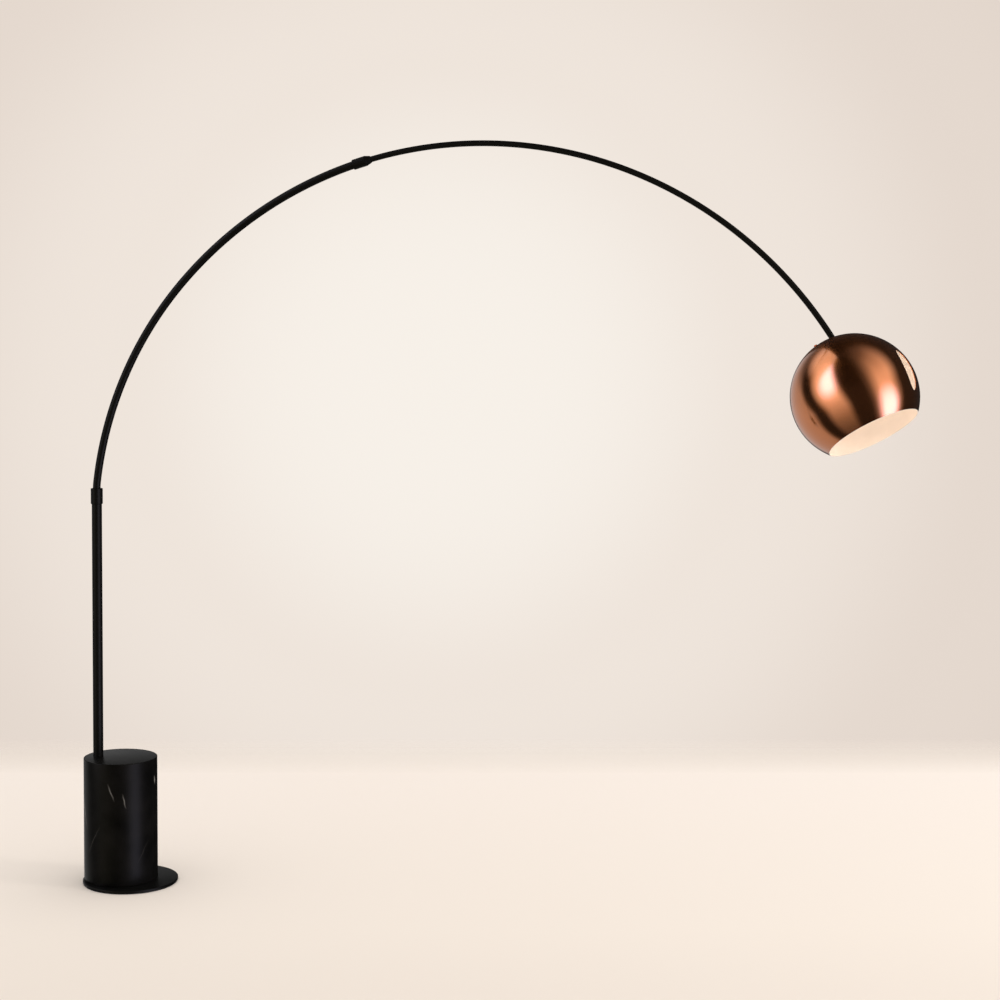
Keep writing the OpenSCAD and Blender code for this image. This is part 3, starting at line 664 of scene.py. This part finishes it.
# %% [markdown]
# ## Two cutters
#
# The shade's side has an oval hole, and its crown has a slot in which the arm can tip. Both are
# punched after spinning. Here each punch is a prism with the hole's outline; it is thrown away
# once it has cut.

# %% Cutters
def cutter(name, outline, turn, low, high):
    """A closed prism with the given outline, turned into place and not part of the lamp."""
    bm = bmesh.new()
    corners = [bm.verts.new((x, y, low)) for x, y in outline]
    face = bm.faces.new(corners)
    made = bmesh.ops.extrude_face_region(bm, geom=[face])["geom"]
    fresh = [item for item in made if isinstance(item, bmesh.types.BMVert)]
    bmesh.ops.translate(bm, verts=fresh, vec=(0, 0, high - low))
    bmesh.ops.recalc_face_normals(bm, faces=bm.faces)
    bmesh.ops.transform(bm, matrix=turn, verts=bm.verts)
    mesh = bpy.data.meshes.new(name)
    bm.to_mesh(mesh)
    bm.free()
    tool = bpy.data.objects.new(name, mesh)
    bpy.context.scene.collection.objects.link(tool)
    return tool


OVAL_STEPS = 96
oval_angles = [2 * pi * i / OVAL_STEPS for i in range(OVAL_STEPS)]
oval = [(CUTOUT_LENGTH / 2 * cos(a), CUTOUT_WIDTH / 2 * sin(a)) for a in oval_angles]
oval_turn = Matrix.Rotation(CUTOUT_TURN, 4, "Z") @ Matrix.Rotation(CUTOUT_ANGLE, 4, "Y")
SLOT_W, SLOT_CLEAR = 17 * MM, 1.5 * MM
TILT_MOST = radians(30)
slot_reach = (SHADE_R - SHADE_DROP) * tan(TILT_MOST) + UPPER_R / cos(TILT_MOST) + SLOT_CLEAR
slot_mid = slot_reach - SLOT_W / 2
slot = [
    (SHADE_OFFSET + SLOT_W / 2 * cos(a), SLOT_W / 2 * sin(a) + (slot_mid if sin(a) > 0 else -slot_mid))
    for a in [pi * (i + 0.5) / 24 for i in range(48)]
]
tools = [
    cutter("oval_tool", oval, oval_turn, SHADE_R / 2, SHADE_R * 1.5),
    cutter("slot_tool", slot, Matrix.Identity(4), SHADE_R / 2, SHADE_R * 1.5),
]
print("slot reaches", round(slot_reach, 4), "m each way")

# %% [markdown]
# ## Cutting the shade
#
# A boolean modifier subtracts each cutter from the whole ball. Its exact solver keeps the cut
# edges clean, which matters on polished metal. The result goes back into a bmesh, so that it
# can be finished like every other piece.

# %% Cut shade
whole = bpy.data.meshes.new("shade_whole")
shade_mesh.to_mesh(whole)
shade_mesh.free()
ball = bpy.data.objects.new("ball_blank", whole)
bpy.context.scene.collection.objects.link(ball)
for tool in tools:
    cut = ball.modifiers.new("cut", "BOOLEAN")
    cut.operation = "DIFFERENCE"
    cut.object = tool
    cut.solver = "EXACT"
bpy.context.view_layer.update()
shade_mesh = bmesh.new()
shade_mesh.from_object(ball, bpy.context.evaluated_depsgraph_get())
for spent in tools + [ball]:
    bpy.data.objects.remove(spent)

print("cut shade", len(shade_mesh.faces), "faces")

# %% [markdown]
# ## Copper outside, enamel inside
#
# The outside is bare lacquered copper; the inside and the rim are sprayed cream. Faces are
# sorted by how far they lie from the ball's middle. The UV map is a lathe's own map: U goes
# round the ball and V up it, and it steers the brushed copper's shine. The ball is moved to its
# place on the arm last.

# %% Faces and map of the shade
lathe = shade_mesh.loops.layers.uv.new("lathe")
middle_r = SHADE_R - SHADE_WALL / 2
for face in shade_mesh.faces:
    middle = face.calc_center_median()
    face.material_index = 0 if middle.length > middle_r else 1
    if min(v.co.length for v in face.verts) < middle_r < max(v.co.length for v in face.verts):
        face.material_index = 1 if middle.z < opening_z + SHADE_WALL else 0
    home = atan2(middle.y, middle.x)
    for loop in face.loops:
        at = loop.vert.co
        turn = atan2(at.y, at.x) if hypot(at.x, at.y) > 1e-5 else home
        if turn - home > pi:
            turn -= 2 * pi
        if home - turn > pi:
            turn += 2 * pi
        loop[lathe].uv = (turn / (2 * pi) + 0.5, at.z / (2 * SHADE_R) + 0.5)
bmesh.ops.transform(shade_mesh, matrix=to_ball, verts=shade_mesh.verts)
shade = finish_piece("ball_shade", shade_mesh, [copper, enamel], "shade", ["shade"])

# %% [markdown]
# ## Finishes for the pieces that keep their own shape
#
# Collars, screws, bushes, the knuckle, the lampholder and the bulb are already the right shape.
# Each only needs its finish.

# %% Dress the remaining pieces
dressing = {
    powder_black: ["lower_collar", "joint_collar", "knuckle_fork"],
    foam_black: ["base_pad"],
    rubber_black: ["cable_grommet"],
    oxide_black: ["collar_screw", "joint_screw", "hinge_bolt"],
    zinc: ["plate_screws", "post_foot", "post_bolt", "thrust_ring", "swivel_clip", "hinge_nut", "shade_yoke"],
    brass: ["marble_inserts", "tip_bush", "shade_pillars", "holder_nipple", "nipple_nut", "thread_shell",
            "centre_contact", "bulb_tip"],
    copper_plate: ["crown_screws"],
    nickel: ["bulb_cap"],
    nylon: ["post_bush_lower", "post_bush_upper", "joint_bush", "guide_sleeve"],
    phenolic: ["holder_cap", "holder_body"],
    porcelain: ["holder_base"],
    bulb_plastic: ["bulb_housing"],
    opal: ["bulb_globe"],
}
for material, names in dressing.items():
    for name in names:
        nodes[name].data.materials.clear()
        nodes[name].data.materials.append(material)
print("dressed", sum(len(names) for names in dressing.values()))

# %% [markdown]
# ## Floor
#
# The room has a pale floor that fades into the wall, like paper curved up behind a stage. Its colour carries
# painted light: darker near the camera and lighter further back.
# A curved backdrop would do the same; a flat floor whose far edge turns clear is lighter and
# lets the wall be painted by the world behind it.

# %% Floor
FLOOR_HALF = 30.0
FLOOR_BACK = 5.93
FLOOR_FADE = 0.5
floor_mesh = bmesh.new()
bmesh.ops.create_grid(floor_mesh, x_segments=12, y_segments=12, size=FLOOR_HALF)
shift = Vector((0, FLOOR_BACK + FLOOR_FADE / 2 - FLOOR_HALF, 0))
bmesh.ops.translate(floor_mesh, verts=floor_mesh.verts, vec=shift)
floor_heading = Matrix.Rotation(CAMERA_TURN, 3, "Z")
bmesh.ops.rotate(floor_mesh, verts=floor_mesh.verts, cent=(0, 0, 0), matrix=floor_heading)
bmesh.ops.translate(floor_mesh, verts=floor_mesh.verts, vec=(camera.location.x, camera.location.y, 0))
floor_data = bpy.data.meshes.new("floor")
floor_mesh.to_mesh(floor_data)
floor_mesh.free()
floor_paint, floor_tree, floor_shader = base_material("pale_floor", (0.82, 0.75, 0.68), 0.9)
floor_shader.inputs["Specular IOR Level"].default_value = 0.1
floor_way = floor_tree.nodes.new("ShaderNodeVectorMath")
floor_way.operation = "DOT_PRODUCT"
floor_way.inputs[1].default_value = (-sin(CAMERA_TURN), cos(CAMERA_TURN), 0)
floor_tree.links.new(floor_tree.nodes.new("ShaderNodeTexCoord").outputs["Object"], floor_way.inputs[0])
camera_reach = camera.location.y * cos(CAMERA_TURN) - camera.location.x * sin(CAMERA_TURN)


def floor_ramp(start, end, stops):
    """A ramp over the floor's distance from the camera, between two distances in metres."""
    span = floor_tree.nodes.new("ShaderNodeMapRange")
    span.inputs["From Min"].default_value = camera_reach + start
    span.inputs["From Max"].default_value = camera_reach + end
    floor_tree.links.new(floor_way.outputs["Value"], span.inputs["Value"])
    return ramp(floor_tree, span.outputs["Result"], stops)


# painted light: the floor's colour is darker near the camera and lighter further back, standing in for light
# falling off across it
floor_painted_light = floor_ramp(3.2, FLOOR_BACK, [
    (0.0, (0.78, 0.71, 0.645)), (0.35, (0.86, 0.79, 0.72)),
    (0.9, (0.9, 0.83, 0.77)), (1.0, (0.85, 0.78, 0.71)),
])
floor_fade = floor_ramp(FLOOR_BACK - FLOOR_FADE / 2, FLOOR_BACK + FLOOR_FADE / 2, [(0.0, 1.0), (1.0, 0.0)])
floor_tree.links.new(floor_painted_light, floor_shader.inputs["Base Color"])
floor_tree.links.new(floor_fade, floor_shader.inputs["Alpha"])
floor_data.materials.append(floor_paint)
floor = bpy.data.objects.new("floor", floor_data)
bpy.context.scene.collection.objects.link(floor)
floor.visible_glossy = False
print("floor reaches", FLOOR_BACK, "m from the camera")

# %% [markdown]
# ## Tools for the room's light
#
# The room is the world's background, worked out from each ray's direction. It could be a
# picture of a studio, but then nothing in it could be moved. These helpers keep the sums
# readable: a number, a dot product, a ramp and a blend.

# %% World helpers
world = bpy.data.worlds.new("room")
world.use_nodes = True
bpy.context.scene.world = world
sky = world.node_tree
sky_way = sky.nodes.new("ShaderNodeTexCoord").outputs["Generated"]


def sky_math(operation, *inputs):
    """One math node of the room's light, fed by numbers or other nodes."""
    node = sky.nodes.new("ShaderNodeMath")
    node.operation = operation
    for place, value in enumerate(inputs):
        if isinstance(value, (int, float)):
            node.inputs[place].default_value = value
        else:
            sky.links.new(value, node.inputs[place])
    return node.outputs[0]


def sky_dot(way):
    """How far each direction of the room points along way, from -1 to 1."""
    node = sky.nodes.new("ShaderNodeVectorMath")
    node.operation = "DOT_PRODUCT"
    node.inputs[1].default_value = way
    sky.links.new(sky_way, node.inputs[0])
    return node.outputs["Value"]


def sky_ramp(value, low, high, stops, smooth=False):
    """A colour ramp over value, with stops given in the value's own units."""
    span = sky.nodes.new("ShaderNodeMapRange")
    span.inputs["From Min"].default_value = low
    span.inputs["From Max"].default_value = high
    sky.links.new(value, span.inputs["Value"])
    scaled = [((place - low) / (high - low), shade) for place, shade in stops]
    output = ramp(sky, span.outputs["Result"], scaled)
    if smooth:
        output.node.color_ramp.interpolation = "EASE"
    return output


def sky_blend(kind, factor, first, second):
    """Mixes two colours of the room."""
    node = sky.nodes.new("ShaderNodeMix")
    node.data_type = "RGBA"
    node.blend_type = kind
    for name, value in (("Factor", factor), ("A", first), ("B", second)):
        if isinstance(value, bpy.types.NodeSocket):
            sky.links.new(value, node.inputs[name])
        elif name == "Factor":
            node.inputs[name].default_value = value
        else:
            node.inputs[name].default_value = (*value, 1)
    return node.outputs["Result"]


# %% [markdown]
# ## Directions
#
# Two soft panels stand in front of the lamp and lean to one side. It is easiest to place them
# by two angles, as on a globe whose axis leans with them: `turn_angle` goes round the lamp from
# the front, and `rise_angle` goes up from its level.

# %% Directions
PANEL_LEAN = radians(23.8)
look = Vector((-sin(CAMERA_TURN), cos(CAMERA_TURN), 0))
across = Vector((cos(CAMERA_TURN), sin(CAMERA_TURN), 0))
lean = Matrix.Rotation(-PANEL_LEAN, 3, look)
panel_up = lean @ Vector((0, 0, 1))
panel_across = lean @ across
toward = sky_math("MULTIPLY", sky_dot(look), -1.0)
turn_angle = sky_math("MULTIPLY", sky_math("ARCTAN2", sky_dot(panel_across), toward), 180 / pi)
rise_angle = sky_math("MULTIPLY", sky_math("ARCSINE", sky_dot(panel_up)), 180 / pi)
print("panels lean", round(PANEL_LEAN, 3), "radians")

# %% [markdown]
# ## A studio for the reflections
#
# Polished metal shows its surroundings, so it needs contrast: a tall panel on the left, a second
# on the right, a side wall and a ceiling, with dark gaps between. Each is a ramp round the lamp
# times a ramp up it, and the brightest one wins. Both panels are wider towards the top.

# %% Panels
PANEL_MIDDLE = 10.0
spread = sky_math("ADD", sky_math("MULTIPLY", sky_math("MAXIMUM", rise_angle, 0.0), 1 / 90), 1.0)
fanned = sky_math("DIVIDE", sky_math("SUBTRACT", turn_angle, PANEL_MIDDLE), spread)
panel_turn = sky_math("ADD", fanned, PANEL_MIDDLE)
# each part of the studio: how bright it is round the lamp, then how that changes with height
left_panel = sky_ramp(panel_turn, -180, 180, [(-72, 0.01), (-58, 0.95), (-30, 0.95), (-17, 0.0)])
left_rise = sky_ramp(rise_angle, -90, 90, [(-60, 0.08), (-40, 0.14), (-20, 0.28), (0, 0.62), (18, 1.0)])
right_panel = sky_ramp(panel_turn, -180, 180, [
    (10, 0.0), (20, 0.12), (38, 0.98), (60, 0.98), (76, 0.25), (84, 0.02), (165, 0.02), (176, 0.0),
])
right_rise = sky_ramp(rise_angle, -90, 90, [
    (-60, 0.4), (-35, 0.9), (18, 0.95), (40, 0.5), (60, 0.13), (78, 0.02),
])
left_wall = sky_ramp(panel_turn, -180, 180, [(-178, 0.05), (-166, 0.5), (-100, 0.5), (-88, 0.02)])
wall_rise = sky_ramp(rise_angle, -90, 90, [(-60, 0.7), (-40, 0.9), (0, 1.0), (20, 0.85), (36, 0.2)])
ceiling = sky_ramp(panel_turn, -180, 180, [(-160, 0.7), (-130, 0.9), (-30, 0.85), (-16, 0.0)])
ceiling_rise = sky_ramp(rise_angle, -90, 90, [(42, 0.0), (58, 1.0)])
DARK_ROOM = 0.001
parts = [
    (left_panel, left_rise),
    (right_panel, right_rise),
    (left_wall, wall_rise),
    (ceiling, ceiling_rise),
]
studio = DARK_ROOM
for along, upward in parts:
    studio = sky_math("MAXIMUM", studio, sky_math("MULTIPLY", along, upward))
print("studio parts", len(parts))

# %% [markdown]
# ## Hot middles
#
# A soft panel is brightest where its lamp stands behind the cloth. Those spots are about three
# times as bright as the rest, so the copper shows them nearly white. Copper takes most of the
# blue out of what it mirrors, and extra blue in the spots puts it back, which keeps them cream.

# %% Hot middles
def hot_middle(turn, rise, wide, high, strength):
    """The bright core of a panel, fading out to wide and high degrees from its middle."""
    sideways = sky_math("DIVIDE", sky_math("SUBTRACT", turn_angle, turn), wide)
    upward = sky_math("DIVIDE", sky_math("SUBTRACT", rise_angle, rise), high)
    square = sky_math("ADD", sky_math("MULTIPLY", sideways, sideways), sky_math("MULTIPLY", upward, upward))
    fall = sky_math("SUBTRACT", 1.0, sky_math("MINIMUM", sky_math("SQRT", square), 1.0))
    return sky_math("MINIMUM", sky_math("MULTIPLY", fall, strength), CORE_LIMIT)


CORE_LIMIT = 2.0
left_spot = hot_middle(turn=-57.0, rise=48.0, wide=30.0, high=33.0, strength=3.6)
left_core = sky_math("MULTIPLY", left_panel, left_spot)
right_spot = hot_middle(turn=48.0, rise=-32.0, wide=30.0, high=38.0, strength=3.6)
right_core = sky_math("MULTIPLY", right_panel, right_spot)
CORE_TINT = (1.0, 1.12, 2.45)
cores = sky_blend("MULTIPLY", 1.0, sky_math("ADD", left_core, right_core), CORE_TINT)
reflected = sky_blend("ADD", 1.0, studio, cores)
print("hot middles add up to", CORE_LIMIT)

# %% [markdown]
# ## The wall
#
# The eye sees a warm, pale wall with a wide glow in the middle, darker towards the corners.
# Its tone depends only on the angle from one direction, close to where the camera looks.

# %% Wall
glow_way = (look - Vector((0, 0, 0.02))).normalized()
wall_tone = sky_ramp(sky_dot(glow_way), 0.9, 1.0, [
    (0.9, (0.7, 0.6, 0.53)), (0.955, (0.78, 0.69, 0.62)),
    (0.985, (0.86, 0.78, 0.71)), (1.0, (0.93, 0.875, 0.81)),
], True)
print("wall glows towards", tuple(round(v, 3) for v in glow_way))

# %% [markdown]
# ## Each kind of ray meets its own room
#
# The eye sees the wall, shiny surfaces see the studio, and everything else gathers an even, warm
# light. One room for all would need a real studio around the lamp, with its panels in view.

# %% Rooms
paths = sky.nodes.new("ShaderNodeLightPath")
ROOM_LIGHT = (1.0, 0.965, 0.93)
soft_room = sky_blend("MIX", paths.outputs["Is Glossy Ray"], ROOM_LIGHT, reflected)
seen_room = sky_blend("MIX", paths.outputs["Is Camera Ray"], soft_room, wall_tone)
sky.links.new(seen_room, sky.nodes["Background"].inputs["Color"])
print("room nodes", len(sky.nodes))

# %% [markdown]
# ## Side light
#
# Even light alone would leave the lamp floating. One large panel on the right throws a soft
# shadow on the floor to the left of the base.

# %% Side light
side_data = bpy.data.lights.new("side_panel", "AREA")
side_data.shape = "RECTANGLE"
side_data.size = 1.2
side_data.size_y = 1.2
side_data.energy = 120
side_data.color = (1.0, 0.95, 0.9)
side_light = bpy.data.objects.new("side_panel", side_data)
side_light.location = (7.0, -0.3, 2.0)
side_light.rotation_euler = (-side_light.location).to_track_quat("-Z", "Y").to_euler()
side_light.visible_camera = False
side_light.visible_glossy = False
bpy.context.scene.collection.objects.link(side_light)
print("side panel", side_data.energy, "W")
